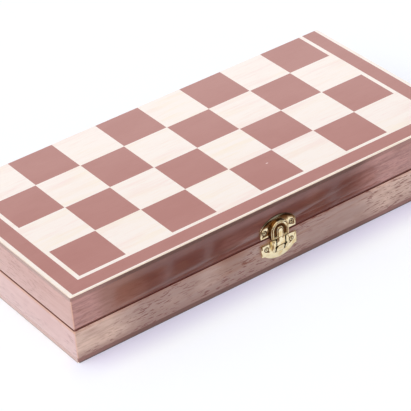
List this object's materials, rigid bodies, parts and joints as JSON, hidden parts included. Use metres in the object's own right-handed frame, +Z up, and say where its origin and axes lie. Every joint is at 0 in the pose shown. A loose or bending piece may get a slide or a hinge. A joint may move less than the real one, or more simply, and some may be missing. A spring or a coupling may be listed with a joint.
{
  "type": "folding chess box",
  "caption": "Flat wooden chess case of two hinged trays with a small latch; opened out and turned over, its outer faces make a chess board.",
  "frame": {"origin": "centre of the flat wooden underside of the closed box", "axes": "+X along the long side, to the right as seen from the latch; +Y from the latch face to the hinges; +Z up, out of the underside"},
  "size_m": [0.291, 0.1494, 0.047],
  "materials": {
    "lid_wood": "reddish brown wood with a semi-gloss lacquer",
    "base_wood": "paler beige-brown wood with a semi-gloss lacquer",
    "panel_core": "fibreboard edge, sanded and stained",
    "light_sheet": "pale wood sheet with a faint grain, satin",
    "dark_inlay": "rosy brown, nearly grainless, satin",
    "felt": "short matted felt",
    "brass": "bright plated brass",
    "steel": "plain steel wire"
  },
  "bodies": {
    "base": {"base_front_wall": "base_wood", "base_back_wall": "base_wood", "base_left_wall": "base_wood", "base_right_wall": "base_wood", "base_panel_core": "panel_core", "base_veneer": "light_sheet", "base_dark_squares": "dark_inlay", "base_dark_border": "dark_inlay", "base_lining": "felt", "base_hinge_leaf_left": "brass", "base_hinge_leaf_right": "brass", "hinge_pin_left": "steel", "hinge_pin_right": "steel", "base_hinge_screws": "brass", "latch_base_plate": "brass", "latch_pivot_pin": "steel", "latch_base_nails": "brass"},
    "lid": {"lid_front_wall": "lid_wood", "lid_back_wall": "lid_wood", "lid_left_wall": "lid_wood", "lid_right_wall": "lid_wood", "lid_panel_core": "panel_core", "lid_veneer": "light_sheet", "lid_dark_squares": "dark_inlay", "lid_dark_border": "dark_inlay", "lid_lining": "felt", "lid_hinge_leaf_left": "brass", "lid_hinge_leaf_right": "brass", "lid_hinge_screws": "brass", "latch_lid_plate": "brass", "latch_lid_nails": "brass"},
    "latch_lever": {"latch_lever": "brass"}
  },
  "joints": [
    {"name": "lid_hinge", "type": "hinge", "parent": "base", "child": "lid", "pos_m": [0, 0.07215, 0.0235], "axis": [-1, 0, 0], "range_deg": [0, 180]},
    {"name": "latch_pivot", "type": "hinge", "parent": "base", "child": "latch_lever", "pos_m": [0, -0.0744, 0.0185], "axis": [1, 0, 0], "range_deg": [0, 110]}
  ]
}
